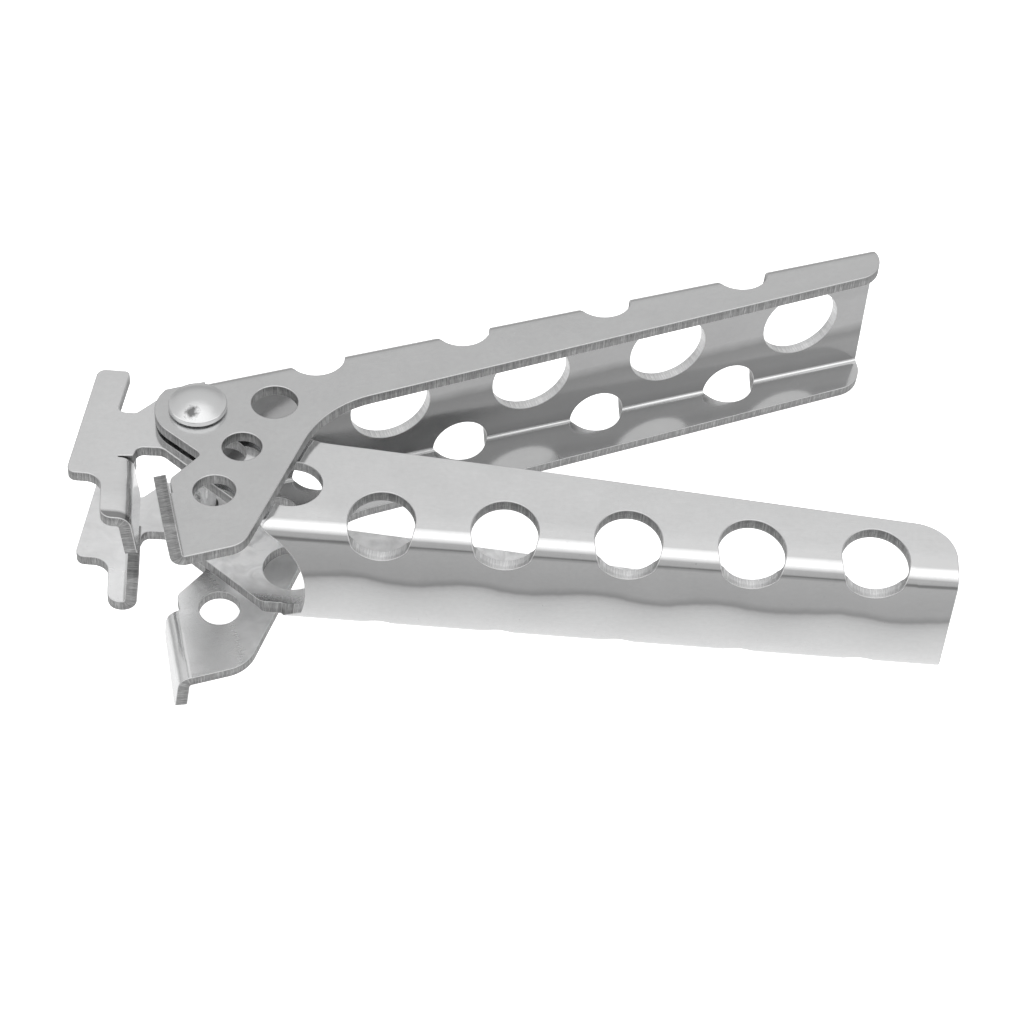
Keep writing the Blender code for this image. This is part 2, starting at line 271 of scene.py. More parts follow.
def inset(loop, amount):
    """The closed loop moved by amount to its left, which is into the sheet."""
    moved = []
    count = len(loop)
    for i, (x, y) in enumerate(loop):
        last_x, last_y = loop[i - 1]
        next_x, next_y = loop[(i + 1) % count]
        before = Vector((x - last_x, y - last_y)).normalized()
        after = Vector((next_x - x, next_y - y)).normalized()
        left = Vector((-before.y - after.y, before.x + after.x))
        scale = amount / max(1 + before.dot(after), MITRE_LIMIT)
        moved.append((x + left.x * scale, y + left.y * scale))
    return moved


def plate(outline, holes):
    """Closed flat blank of the outline less the holes. Its cut edges run through six rings, from the rolled
    corner at w = 0 to the burr at the sheet thickness. The UV map holds (s, v) on the two faces of the
    sheet, and (distance along the edge, w) on the cut edges."""
    loops = [turned(outline, 1)] + [turned(hole, -1) for hole in holes]
    bow = 1 - math.sqrt(0.5)
    rings = (
        (EDGE_ROLL, 0.0),
        (EDGE_ROLL * bow, EDGE_ROLL * bow),
        (0.0, EDGE_ROLL),
        (0.0, SHEET - EDGE_BURR),
        (EDGE_BURR * bow, SHEET - EDGE_BURR * bow),
        (EDGE_BURR, SHEET),
    )
    mesh = bmesh.new()
    uv = mesh.loops.layers.uv.new("blank")
    flat = [Vector((x, y, 0)) for loop in loops for x, y in loop]
    starts = [sum(len(loop) for loop in loops[:i]) for i in range(len(loops))]

    def level(amount, w):
        points = [point for loop in loops for point in inset(loop, amount)]
        return [mesh.verts.new((x, y, w)) for x, y in points]

    def sheet_face(corners, side):
        face = mesh.faces.new(corners)
        face.material_index = side
        for corner in face.loops:
            corner[uv].uv = corner.vert.co.xy

    levels = [level(amount, w) for amount, w in rings]
    top = level(EDGE_ROLL + EDGE_MARGIN, 0.0)
    bottom = level(EDGE_BURR + EDGE_MARGIN, SHEET)
    triangles = tessellate_polygon([
        [Vector((vert.co.x, vert.co.y, 0)) for vert in top[start:start + len(loop)]]
        for start, loop in zip(starts, loops)
    ])
    for a, b, c in triangles:
        sheet_face((top[a], top[b], top[c]), OUTSIDE)
        sheet_face((bottom[c], bottom[b], bottom[a]), INSIDE)
    for start, loop in zip(starts, loops):
        along = 0.0
        count = len(loop)
        for k in range(count):
            a = start + k
            b = start + (k + 1) % count
            step = (flat[b] - flat[a]).length
            sheet_face((top[a], top[b], levels[0][b], levels[0][a]), OUTSIDE)
            sheet_face((levels[-1][a], levels[-1][b], bottom[b], bottom[a]), INSIDE)
            for i, (above, below) in enumerate(zip(levels, levels[1:])):
                face = mesh.faces.new((above[a], above[b], below[b], below[a]))
                face.material_index = SHEARED if i == 2 else CORNER
                ends = ((along, rings[i][1]), (along + step, rings[i][1]),
                        (along + step, rings[i + 1][1]), (along, rings[i + 1][1]))
                for corner, end in zip(face.loops, ends):
                    corner[uv].uv = end
            along += step
    return mesh


def sheet_piece(name, mesh, pivot):
    """The folded sheet as an object, placed at the rivet's axis."""
    bmesh.ops.remove_doubles(mesh, verts=mesh.verts[:], dist=1e-7)
    bmesh.ops.recalc_face_normals(mesh, faces=mesh.faces[:])
    bmesh.ops.translate(mesh, vec=pivot, verts=mesh.verts[:])
    return add_object(name, mesh)


def add_object(name, mesh):
    for face in mesh.faces:
        face.smooth = True
    data = bpy.data.meshes.new(name)
    mesh.to_mesh(data)
    mesh.free()
    obj = bpy.data.objects.new(name, data)
    bpy.context.scene.collection.objects.link(obj)
    weighted = obj.modifiers.new("flat_faces_lead", "WEIGHTED_NORMAL")
    weighted.weight = 100
    return obj


def score(mesh, cuts, side, limit):
    """Cut the faces whose blank coordinate v lies beyond limit on this side (0 for all) along each plane."""
    for point, normal in cuts:
        faces = [f for f in mesh.faces if side == 0 or all(v.co.y * side > limit for v in f.verts)]
        edges = {edge for face in faces for edge in face.edges}
        verts = {vert for face in faces for vert in face.verts}
        geometry = list(verts) + list(edges) + faces
        bmesh.ops.bisect_plane(mesh, geom=geometry, dist=1e-5, plane_co=point, plane_no=normal)


def bend_cuts(channel):
    cuts = []
    for side in (1, -1):
        for k in range(BEND_STEPS + 1):
            v = side * (channel.flat + channel.arc(side) * k / BEND_STEPS)
            cuts.append(((0, v, 0), (0, 1, 0)))
    return cuts


def outer_tab_line(channel, side):
    return TabLine(OUTER_TAB_FOLD_S, channel.v(OUTER_TAB_NEAR_D, side), -1.0, -OUTER_TAB_SKEW * side)


def outer_half(channel, side, tab, corner):
    """Outline of one flange of the outer channel, from its free end round to the start of the web."""
    near_length, far_length, far_spread = tab
    far_fold_s = OUTER_TAB_FOLD_S + (OUTER_TAB_NEAR_D - OUTER_TAB_FAR_D) * OUTER_TAB_SKEW
    edge = rounded((
        (OUTER_END, 0.0, 0),
        (OUTER_END, 7.6, 5.5),
        (19.8, 12.2, 18.0),
        (-1.0, OUTER_TAB_NEAR_D, corner),
        (OUTER_TAB_FOLD_S, OUTER_TAB_NEAR_D, 0),
        (OUTER_TAB_FOLD_S - near_length, OUTER_TAB_NEAR_D - near_length * OUTER_TAB_SKEW, 1.3),
        (far_fold_s - far_length, OUTER_TAB_FAR_D + far_spread, 1.2),
        (far_fold_s, OUTER_TAB_FAR_D, 0.3),
        (-8.4, 21.2, 1.6),
        (-2.3, 17.3, 0.9),
        (-2.6, 16.4, 0.4),
        (-6.17, 10.21, 0),
    ))[1:-1]
    first, last = OUTER_HEAD_ARC
    for k in range(OUTER_HEAD_STEPS + 1):
        a = first + (last - first) * k / OUTER_HEAD_STEPS
        edge.append((OUTER_HEAD_RADIUS * math.cos(a), OUTER_PIVOT_D + OUTER_HEAD_RADIUS * math.sin(a)))
    relief = OUTER_WEB_START - OUTER_RELIEF
    edge.append((relief, OUTER_PIVOT_D + OUTER_HEAD_RADIUS * math.sin(last)))
    edge.append((relief, BEND_OUTSIDE + 0.4))
    edge.append((OUTER_WEB_START, BEND_OUTSIDE + 0.4))
    return [(s, channel.v(d, side)) for s, d in edge]


def outer_handle(pivot):
    channel = Channel(OUTER_HEIGHT, math.pi / 2, OUTER_LOWER_FOLD, OUTER_WEB_START - OUTER_RELIEF / 2)
    upper = outer_half(channel, 1, OUTER_UPPER_TAB, OUTER_CORNERS[0])
    lower = outer_half(channel, -1, OUTER_LOWER_TAB, OUTER_CORNERS[1])
    holes = []
    for k in range(OUTER_BEND_HOLES):
        s = OUTER_BEND_HOLE_FIRST + OUTER_BEND_HOLE_PITCH * k
        for v in (OUTER_UPPER_ROW_V, OUTER_LOWER_ROW_V):
            holes.append(oval(s, v, OUTER_BEND_HOLE_RADIUS, OUTER_BEND_HOLE_RADIUS))
        s = OUTER_WEB_HOLE_FIRST + OUTER_BEND_HOLE_PITCH * k
        holes.append(oval(s, -OUTER_MIDDLE_Z, OUTER_WEB_HOLE_RADIUS, OUTER_WEB_HOLE_RADIUS))
    for side, pivot_radius in ((1, SHANK_HOLE_RADIUS), (-1, SPLAYED_HOLE_RADIUS)):
        holes.append(oval(0, channel.v(OUTER_PIVOT_D, side), pivot_radius, pivot_radius))
        for s, d, radius in OUTER_HEAD_HOLES:
            holes.append(oval(s, channel.v(d, side), radius, radius))
    mesh = plate(upper + lower[::-1], holes)
    score(mesh, bend_cuts(channel), 0, 0)
    zone = channel.v(OUTER_TAB_ZONE_D, 1)
    lines = {side: outer_tab_line(channel, side) for side in (1, -1)}
    for side, line in lines.items():
        score(mesh, line.cuts(), side, zone)
    bmesh.ops.triangulate(mesh, faces=mesh.faces[:])
    turn_x = math.cos(OUTER_ANGLE)
    turn_y = math.sin(OUTER_ANGLE)
    for vert in mesh.verts:
        s, v, w = vert.co
        if abs(v) > zone:
            s, v, w = lines[1 if v > 0 else -1].fold(s, v, w, True)
        s, d, z = channel.place(s, v, w)
        away = OUTER_PIVOT_D - d
        x = s * turn_x - away * turn_y
        y = s * turn_y + away * turn_x
        vert.co = Vector((x, y, z + OUTER_MIDDLE_Z)) * MM
    return sheet_piece("outer_handle_sheet", mesh, pivot)


def inner_tab_line(channel, side):
    return TabLine(INNER_TAB_FOLD_S, channel.v(0.0, side), 1.0, -INNER_TAB_SKEW * side)


def inner_half(channel, side, tab_length):
    """Outline of one flange of the inner channel, from its free end round to the cut end of the web."""
    far_fold_s = INNER_TAB_FOLD_S + INNER_TAB_FAR_D * INNER_TAB_SKEW
    corners = [
        (INNER_END, 0.0, 0),
        (INNER_END, 11.7, 7.0),
        (52.0, 18.0, 90.0),
        (20.3, 20.4, 12.0),
        (0.9, 28.0, 4.4),
        (-7.0, 28.0, 2.4),
        (-10.3, 24.0, 1.2),
        (-13.4, 24.0, 1.2),
        (-12.8, 33.8, 0.8),
        (-18.2, 33.8, 1.5),
        (-19.4, 9.4, 1.5),
        (-13.7, 9.4, 3.0),
        (-12.4, 0.0, 2.3),
        (INNER_TAB_FOLD_S, 0.0, 0),
        (INNER_TAB_FOLD_S + tab_length, -tab_length * INNER_TAB_SKEW, 1.3),
        (far_fold_s + tab_length - 0.3, INNER_TAB_FAR_D - (tab_length - 1.6) * INNER_TAB_SKEW - 0.2, 1.3),
        (far_fold_s - 0.1, INNER_TAB_FAR_D, 0),
        (far_fold_s - 0.1, INNER_TAB_FAR_D + INNER_TAB_SLIT, 0),
        (-9.3, INNER_TAB_FAR_D + INNER_TAB_SLIT - 2.3 * INNER_TAB_SKEW, 0),
        (-8.8, 16.2, 1.3),
        (-4.9, 16.4, 2.2),
    ]
    if side > 0:
        corners += [(11.9, 2.9, 1.0), (13.2, BEND_OUTSIDE - 1.4, 0)]
    else:
        corners += [
            (12.9, 2.1, 1.5),
            (15.9, 2.1, 0.4),
            (16.7, BEND_OUTSIDE - 1.9, 0),
            (18.5, BEND_OUTSIDE - 2.6, 0),
        ]
    return [(s, channel.v(d, side)) for s, d in rounded(corners)[1:]]


def inner_handle(pivot):
    channel = Channel(INNER_HEIGHT, math.pi / 2, math.pi / 2, INNER_FLAT_BEFORE)
    upper = inner_half(channel, 1, INNER_UPPER_TAB)
    lower = inner_half(channel, -1, INNER_LOWER_TAB)
    web_end = []
    middle_s, middle_z, radius = INNER_WEB_CUT
    for k in range(INNER_WEB_CUT_STEPS + 1):
        z = channel.flat * (1 - 2 * k / INNER_WEB_CUT_STEPS)
        web_end.append((middle_s + math.sqrt(radius ** 2 - (z - middle_z) ** 2), z))
    holes = []
    for k in range(INNER_BEND_HOLES):
        s = INNER_BEND_HOLE_FIRST + INNER_BEND_HOLE_PITCH * k
        for v, along, across in (INNER_UPPER_HOLE, INNER_LOWER_HOLE):
            holes.append(oval(s, v, along, across))
    for side in (1, -1):
        holes.append(oval(0, channel.v(INNER_PIVOT_D, side), SHANK_HOLE_RADIUS, SHANK_HOLE_RADIUS))
        for s, d, radius in INNER_HEAD_HOLES:
            holes.append(oval(s, channel.v(d, side), radius, radius))
    mesh = plate(upper + web_end + lower[::-1], holes)
    score(mesh, bend_cuts(channel), 0, 0)
    lines = {side: inner_tab_line(channel, side) for side in (1, -1)}
    far_fold_s = INNER_TAB_FOLD_S + INNER_TAB_FAR_D * INNER_TAB_SKEW
    for side, line in lines.items():
        score(mesh, line.cuts(), side, 0)
    bmesh.ops.triangulate(mesh, faces=mesh.faces[:])
    for vert in mesh.verts:
        s, v, w = vert.co
        line = lines[1 if v > 0 else -1]
        far_edge = channel.v(INNER_TAB_FAR_D + INNER_TAB_SLIT / 2, 1) - (s - far_fold_s) * INNER_TAB_SKEW
        if s < 0 and abs(v) < far_edge:
            s, v, w = line.fold(s, v, w, False)
        s, d, z = channel.place(s, v, w)
        vert.co = Vector((s, d - INNER_PIVOT_D, z)) * MM
    return sheet_piece("inner_handle_sheet", mesh, pivot)


def rivet(pivot):
    """Solid of revolution: domed head with a rolled rim, shank, and formed tail."""
    top = OUTER_HEIGHT / 2 + OUTER_MIDDLE_Z + HEAD_GAP
    splay = math.pi / 2 - OUTER_LOWER_FOLD
    lower = OUTER_HEIGHT / 2 - OUTER_MIDDLE_Z + (OUTER_PIVOT_D - BEND_OUTSIDE + TAIL_RADIUS) * math.tan(splay)
    tail = -(lower + HEAD_GAP)
    rim = top + HEAD_RIM
    rise = HEAD_HEIGHT - HEAD_RIM
    dome_radius = (HEAD_RADIUS ** 2 + rise ** 2) / (2 * rise)
    foot = tail - TAIL_HEIGHT

    # From the axis out under the tail, up the shank, and over the head back to the axis
    profile = [(DIMPLE_RADIUS * k / 4 + 0.02, foot + DIMPLE_DEPTH * (1 - k / 4)) for k in range(5)]
    profile += [(TAIL_RADIUS - 1.2, foot)]
    for k in range(7):
        a = math.radians(15 * k)
        out = TAIL_RADIUS - TAIL_CORNER + TAIL_CORNER * math.sin(a)
        profile.append((out, foot + TAIL_CORNER - TAIL_CORNER * math.cos(a)))
    profile += [
        (TAIL_RADIUS, tail - 0.1),
        (TAIL_RADIUS - 0.1, tail),
        (SHANK_RADIUS + RIVET_BREAK, tail),
        (SHANK_RADIUS, tail + RIVET_BREAK),
        (SHANK_RADIUS, top - RIVET_BREAK),
        (SHANK_RADIUS + RIVET_BREAK, top),
        (HEAD_RADIUS - RIVET_BREAK, top),
        (HEAD_RADIUS - 0.04, top + 0.04),
        (HEAD_RADIUS, top + RIVET_BREAK),
    ]
    inner = HEAD_RADIUS - HEAD_CORNER
    edge_z = rim + rise - dome_radius + math.sqrt(dome_radius ** 2 - inner ** 2)
    for k in range(6):
        a = math.radians(70) * k / 5
        profile.append((inner + HEAD_CORNER * math.cos(a), edge_z - HEAD_CORNER + HEAD_CORNER * math.sin(a)))
    for k in range(1, 16):
        radius = inner * (1 - k / 16) ** 0.8
        profile.append((radius, rim + rise - dome_radius + math.sqrt(dome_radius ** 2 - radius ** 2)))

    mesh = bmesh.new()
    rings = []
    for radius, z in profile:
        ring = []
        for k in range(TURN_STEPS):
            a = 2 * math.pi * k / TURN_STEPS
            ring.append(mesh.verts.new((radius * math.cos(a) * MM, radius * math.sin(a) * MM, z * MM)))
        rings.append(ring)
    for below, above in zip(rings, rings[1:]):
        for k in range(TURN_STEPS):
            after = (k + 1) % TURN_STEPS
            mesh.faces.new((below[k], below[after], above[after], above[k]))
    mesh.faces.new(rings[0][::-1])
    mesh.faces.new(rings[-1])
    bmesh.ops.translate(mesh, vec=pivot, verts=mesh.verts[:])
    return add_object("rivet_turned", mesh)


class Nodes:
    """Short way to write a material's node tree."""

    def __init__(self, name):
        self.material = bpy.data.materials.new(name)
        self.material.use_nodes = True
        self.tree = self.material.node_tree
        self.shader = self.tree.nodes["Principled BSDF"]

    def add(self, kind, inputs=(), **settings):
        node = self.tree.nodes.new("ShaderNode" + kind)
        for key, value in settings.items():
            setattr(node, key, value)
        for key, value in dict(inputs).items():
            self.put(node.inputs[key], value)
        return node

    def put(self, socket, value):
        if isinstance(value, bpy.types.NodeSocket):
            self.tree.links.new(value, socket)
        else:
            socket.default_value = value

    def math(self, operation, a, b=0.0, c=0.0):
        node = self.add("Math", operation=operation)
        for socket, value in zip(node.inputs, (a, b, c)):
            self.put(socket, value)
        return node.outputs[0]

    def rise(self, value, start, width):
        """0 up to start, then a straight rise to 1 over width; a negative width rises the other way."""
        run = self.math("DIVIDE", self.math("SUBTRACT", value, start), width)
        return self.math("MINIMUM", self.math("MAXIMUM", run, 0.0), 1.0)

    def blank(self, stretch_s, stretch_v):
        """The flat blank's coordinates in mm, scaled, for grain that follows the sheet round its bends."""
        uv = self.add("UVMap", uv_map="blank")
        mapping = self.add("Mapping", {"Vector": uv.outputs[0], "Scale": (stretch_s, stretch_v, 1.0)})
        return mapping.outputs[0]

    def blank_axes(self):
        """The UV map's two coordinates, unscaled."""
        uv = self.add("UVMap", uv_map="blank")
        parts = self.add("SeparateXYZ", {"Vector": uv.outputs[0]})
        return parts.outputs["X"], parts.outputs["Y"]

    def from_pivot(self, pivot):
        """Object coordinates from the middle of the rivet, in metres."""
        place = self.add("TexCoord")
        off = self.add("VectorMath", {0: place.outputs["Object"], 1: pivot}, operation="SUBTRACT")
        parts = self.add("SeparateXYZ", {"Vector": off.outputs[0]})
        return parts.outputs["X"], parts.outputs["Y"], parts.outputs["Z"]

    def solid(self, scale):
        """Object coordinates, scaled from metres."""
        place = self.add("TexCoord")
        mapping = self.add("Mapping", {"Vector": place.outputs["Object"], "Scale": (scale, scale, scale)})
        return mapping.outputs[0]

    def noise(self, vector, scale, detail=2.0, roughness=0.5, distortion=0.0):
        node = self.add("TexNoise", {"Vector": vector, "Scale": scale, "Detail": detail,
                                     "Roughness": roughness, "Distortion": distortion})
        return node.outputs["Fac"]

    def ramp(self, value, *stops):
        node = self.add("ValToRGB", {"Fac": value})
        ramp = node.color_ramp
        while len(ramp.elements) < len(stops):
            ramp.elements.new(0.5)
        for element, (place, grey) in zip(ramp.elements, stops):
            element.position = place
            element.color = (grey, grey, grey, 1)
        return node.outputs["Color"]

    def tint(self, grey, cool):
        """A grey value as a colour, slightly cool."""
        node = self.add("CombineColor", {
            "Red": self.math("MULTIPLY", grey, 1.0 - cool),
            "Green": grey,
            "Blue": self.math("MULTIPLY", grey, 1.0 + cool),
        })
        return node.outputs["Color"]

    def bump(self, height, distance, normal=None):
        node = self.add("Bump", {"Height": height, "Distance": distance, "Strength": 1.0})
        if normal is not None:
            self.put(node.inputs["Normal"], normal)
        return node.outputs["Normal"]


# Greys by v across each blank, in mm from the middle of the web; past the ends they stay the same. These
# greys are painted light and shade: the dark bands on the webs are a painted reflection of shade, the bright
# bands on the bends a painted highlight, and the greys of the shaded inner faces are raised as painted light.
PROFILE_REACH = 40.0
OUTER_OUTSIDE = ((-40.0, 0.80), (-24.0, 0.62), (8.0, 0.60), (14.0, 0.70), (40.0, 0.72))
OUTER_INSIDE = (
    (-40.0, 0.86), (-27.0, 0.86), (-23.0, 0.62), (-16.0, 0.62), (-13.6, 0.66), (-12.9, 0.30), (-12.5, 0.85),
    (-11.9, 0.90), (-11.4, 0.18), (-9.0, 0.24), (-3.5, 0.24), (-1.3, 0.21), (0.0, 0.20), (2.2, 0.36),
    (8.0, 0.37), (11.0, 0.32), (16.0, 0.60), (24.0, 0.90), (40.0, 0.95),
)
INNER_OUTSIDE = (
    (-40.0, 0.85), (-16.0, 0.75), (-10.0, 0.74), (-6.5, 0.62), (-3.0, 0.54), (-0.8, 0.47), (0.3, 0.38),
    (1.0, 0.22), (2.4, 0.31), (8.6, 0.35), (9.5, 0.35), (9.8, 0.96), (12.0, 0.96), (14.5, 0.88), (40.0, 0.84),
)
INNER_INSIDE = ((-40.0, 0.82), (-14.0, 0.90), (0.0, 0.85), (14.0, 0.94), (40.0, 0.96))


def sheet_steel(name, profile, marks, rough, lean=0.0, lift=0.0, scuff_start=-50.0, scuff=0.0):
    """Bright rolled sheet. The profile gives its grey by v, the distance across the flat blank, and so paints
    light and shade: the bends are painted brighter as a painted highlight, and the webs darker as a painted
    reflection of shade. The third argument, (first, pitch, size), waves the edge of that painted reflection
    from hole to hole, lean tilts it, and lift paints the sheet brighter towards the free end as painted
    light. scuff dulls and mottles the sheet below v = scuff_start, where the lower jaw plate is, and less so
    at the jaw tips."""
    n = Nodes(name)
    s, v = n.blank_axes()
    grain = n.noise(n.blank(0.35, 9.0), 1.0, 3.0, 0.6)
    cloud = n.noise(n.blank(1.0, 1.0), 0.11, 3.0, 0.6)
    mottle = n.noise(n.blank(1.0, 1.0), 1.1, 3.0, 0.65)

    # Painted reflection: the edge of the dark reflected band wanders over the web from hole to hole, and
    # stays straight on the bends
    first, pitch, size = marks
    along = n.math("SUBTRACT", s, first)
    wave = n.math("SINE", n.math("MULTIPLY", along, 2 * math.pi / pitch))
    wave = n.math("MULTIPLY_ADD", wave, size, n.math("MULTIPLY_ADD", cloud, 1.6, -0.8))
    wave = n.math("MULTIPLY_ADD", along, lean, wave)
    on_web = n.rise(n.math("ABSOLUTE", v), 8.0, -3.0)
    place = n.math("MULTIPLY_ADD", wave, on_web, v)
    # Painted light and shade: the profile's grey by v, with painted highlights on the bends and a dark
    # painted reflection on the webs
    stops = [((at + PROFILE_REACH) / (2 * PROFILE_REACH), grey) for at, grey in profile]
    value = n.ramp(n.math("MULTIPLY_ADD", place, 0.5 / PROFILE_REACH, 0.5), *stops)
    # Painted light: the sheet is painted brighter towards its free end
    value = n.math("MULTIPLY_ADD", s, lift, value)
    value = n.math("MULTIPLY", value, n.math("MULTIPLY_ADD", cloud, 0.12, 0.94))
    value = n.math("MULTIPLY", value, n.math("MULTIPLY_ADD", grain, 0.10, 0.95))
    value = n.math("MULTIPLY", value, n.math("MULTIPLY_ADD", mottle, 0.10, 0.95))

    # Scuffed lower jaw plate
    scuffed = n.rise(v, scuff_start, -6.0)
    behind_tips = n.rise(s, -8.0, 12.0)
    scuffed = n.math("MULTIPLY", scuffed, n.math("MULTIPLY_ADD", behind_tips, 0.7, 0.3))
    blotch = n.noise(n.blank(1.0, 1.0), 0.30, 2.0, 0.5, 1.0)
    patch = n.math("MULTIPLY_ADD", blotch, 1.6 * scuff, -0.8 * scuff)
    value = n.math("MULTIPLY", value, n.math("MULTIPLY_ADD", scuffed, patch, 1.0))

    # Dark pits and bright nicks
    speck = n.noise(n.blank(1.0, 1.0), 2.3, 1.0, 0.5)
    pits = n.math("GREATER_THAN", speck, 0.80)
    nicks = n.math("LESS_THAN", speck, 0.185)
    value = n.math("MULTIPLY_ADD", pits, -0.15, value)
    value = n.math("MULTIPLY_ADD", nicks, 0.20, value)
    n.put(n.shader.inputs["Base Color"], n.tint(value, 0.002))

    polish = n.math("MULTIPLY_ADD", cloud, 0.08, rough - 0.04)
    polish = n.math("MULTIPLY_ADD", grain, 0.05, polish)
    polish = n.math("MULTIPLY_ADD", pits, 0.20, polish)
    polish = n.math("MULTIPLY_ADD", scuffed, scuff, polish)
    n.put(n.shader.inputs["Roughness"], polish)
    patina = n.math("MULTIPLY", scuffed, n.math("MULTIPLY_ADD", mottle, 1.2, 0.4))
    n.put(n.shader.inputs["Metallic"], n.math("MULTIPLY_ADD", patina, -1.7 * scuff, 1.0))
    waves = n.noise(n.blank(0.6, 1.0), 0.13, 1.0, 0.4)
    normal = n.bump(waves, 0.03 * MM)
    normal = n.bump(grain, 0.0012 * MM, normal)
    normal = n.bump(mottle, 0.0015 * MM, normal)
    normal = n.bump(n.math("SUBTRACT", nicks, pits), 0.01 * MM, normal)
    n.put(n.shader.inputs["Normal"], normal)
    return n.material


# Where the cut edges of the web's holes lie, which get a painted highlight: this far along from the rivet,
# and this near the middle of its height, fading out over the last stretch
WEB_HOLES_FROM = 18.0
WEB_HOLES_HALF = 9.5
WEB_HOLES_FADE = 2.0


def sheared_steel(name, grey, pivot):
    """Punched edge: a smooth sheared band under the rolled corner, then a coarser torn band, with drag lines.
    The edges of the holes in the webs are painted brighter, as a painted highlight."""
    n = Nodes(name)
    _, w = n.blank_axes()
    depth = n.math("DIVIDE", w, SHEET)
    wander = n.noise(n.blank(0.7, 0.0), 1.0, 2.0)
    tear = n.math("ADD", depth, n.math("MULTIPLY_ADD", wander, 0.3, -0.15))
    torn = n.ramp(tear, (0.35, 0.0), (0.50, 1.0))
    drag = n.noise(n.blank(4.5, 0.30), 1.0, 4.0, 0.75)
    coarse = n.noise(n.blank(3.0, 3.0), 1.0, 4.0, 0.7)
    value = n.ramp(drag, (0.34, grey - 0.12), (0.52, grey), (0.68, grey + 0.26))
    x, _, z = n.from_pivot(pivot)
    # Painted highlight: the cut edges of the web's holes are painted brighter
    handle = n.math("GREATER_THAN", x, WEB_HOLES_FROM * MM)
    web = n.rise(n.math("ABSOLUTE", z), WEB_HOLES_HALF * MM, -WEB_HOLES_FADE * MM)
    value = n.math("MULTIPLY_ADD", n.math("MULTIPLY", web, handle), 0.50, value)
    rough_band = n.math("MULTIPLY", torn, coarse)
    value = n.math("MULTIPLY_ADD", rough_band, 0.14, n.math("SUBTRACT", value, 0.04))
    n.put(n.shader.inputs["Base Color"], n.tint(value, 0.002))
    n.put(n.shader.inputs["Metallic"], 1.0)
    n.put(n.shader.inputs["Roughness"], n.math("MULTIPLY_ADD", torn, 0.12, 0.42))
    normal = n.bump(drag, 0.05 * MM)
    normal = n.bump(rough_band, 0.05 * MM, normal)
    n.put(n.shader.inputs["Normal"], normal)
    return n.material


def corner_steel(name, grey):
    """The rolled and worn corners of the cut edges, brighter than the sheet, with tiny nicks."""
    n = Nodes(name)
    nicks = n.noise(n.blank(1.6, 1.0), 1.0, 3.0, 0.7)
    n.put(n.shader.inputs["Base Color"], n.tint(n.math("MULTIPLY_ADD", nicks, 0.40, grey - 0.20), 0.002))
    n.put(n.shader.inputs["Metallic"], 1.0)
    n.put(n.shader.inputs["Roughness"], n.math("MULTIPLY_ADD", nicks, 0.20, 0.22))
    n.put(n.shader.inputs["Normal"], n.bump(nicks, 0.02 * MM))
    return n.material


# The smudge on the rivet's head: its middle from the rivet's axis, and its reach
SMUDGE_X = -0.5
SMUDGE_Y = -3.0
SMUDGE_REACH = 3.0
TURNING_PITCH = 0.35


def rivet_steel(pivot):
    """Polished rivet: faint turning rings round its axis, a dark smudge and small dents."""
    n = Nodes("rivet_polished")
    x, y, _ = n.from_pivot(pivot)

    def distance(from_x, from_y):
        square_x = n.math("POWER", n.math("SUBTRACT", x, from_x * MM), 2.0)
        square_y = n.math("POWER", n.math("SUBTRACT", y, from_y * MM), 2.0)
        return n.math("SQRT", n.math("ADD", square_x, square_y))

    rings = n.math("SINE", n.math("MULTIPLY", distance(0.0, 0.0), 2 * math.pi / (TURNING_PITCH * MM)))
    spot = n.math("DIVIDE", distance(SMUDGE_X, SMUDGE_Y), SMUDGE_REACH * MM)
    grime = n.noise(n.solid(1300.0), 1.0, 3.0, 0.6)
    smudge = n.ramp(n.math("ADD", spot, n.math("MULTIPLY", grime, 0.7)), (0.50, 1.0), (0.78, 0.0))
    dents = n.noise(n.solid(900.0), 1.0, 2.0, 0.5)
    value = n.math("SUBTRACT", 0.80, n.math("MULTIPLY", smudge, 0.60))
    n.put(n.shader.inputs["Base Color"], n.tint(value, 0.004))
    n.put(n.shader.inputs["Metallic"], 1.0)
    n.put(n.shader.inputs["Roughness"], n.math("MULTIPLY_ADD", smudge, 0.16, 0.22))
    normal = n.bump(rings, 0.0010 * MM)
    normal = n.bump(dents, 0.02 * MM, normal)
    n.put(n.shader.inputs["Normal"], normal)
    return n.material


# Studio
CAMERA_ELEVATION = math.radians(45.78)
CAMERA_ROLL = math.radians(4.06)
CAMERA_AZIMUTH = math.radians(0.38)
CAMERA_DISTANCE = 0.4342
CAMERA_AIM = Vector((0.05231, -0.00205, -0.00306))
CAMERA_LENS = 91.4


def camera(pivot):
    data = bpy.data.cameras.new("studio_camera")
    data.lens = CAMERA_LENS
    data.sensor_width = 36.0
    data.clip_start = 0.01
    obj = bpy.data.objects.new("studio_camera", data)
    bpy.context.scene.collection.objects.link(obj)
    turn = (Matrix.Rotation(CAMERA_AZIMUTH, 4, "Z")
            @ Matrix.Rotation(math.pi / 2 - CAMERA_ELEVATION, 4, "X")
            @ Matrix.Rotation(CAMERA_ROLL, 4, "Z"))
    place = pivot + CAMERA_AIM + turn @ Vector((0, 0, CAMERA_DISTANCE))
    obj.matrix_world = Matrix.Translation(place) @ turn
    bpy.context.scene.camera = obj


# The floor: the free ends lie at least this far from the jaws, and the gap keeps it clear of the steel
FREE_ENDS_FROM = 0.09
FLOOR_GAP = 0.0002
FLOOR_HALF = 3.0
FLOOR_GREY = 0.92
FLOOR_GLOW = 0.80


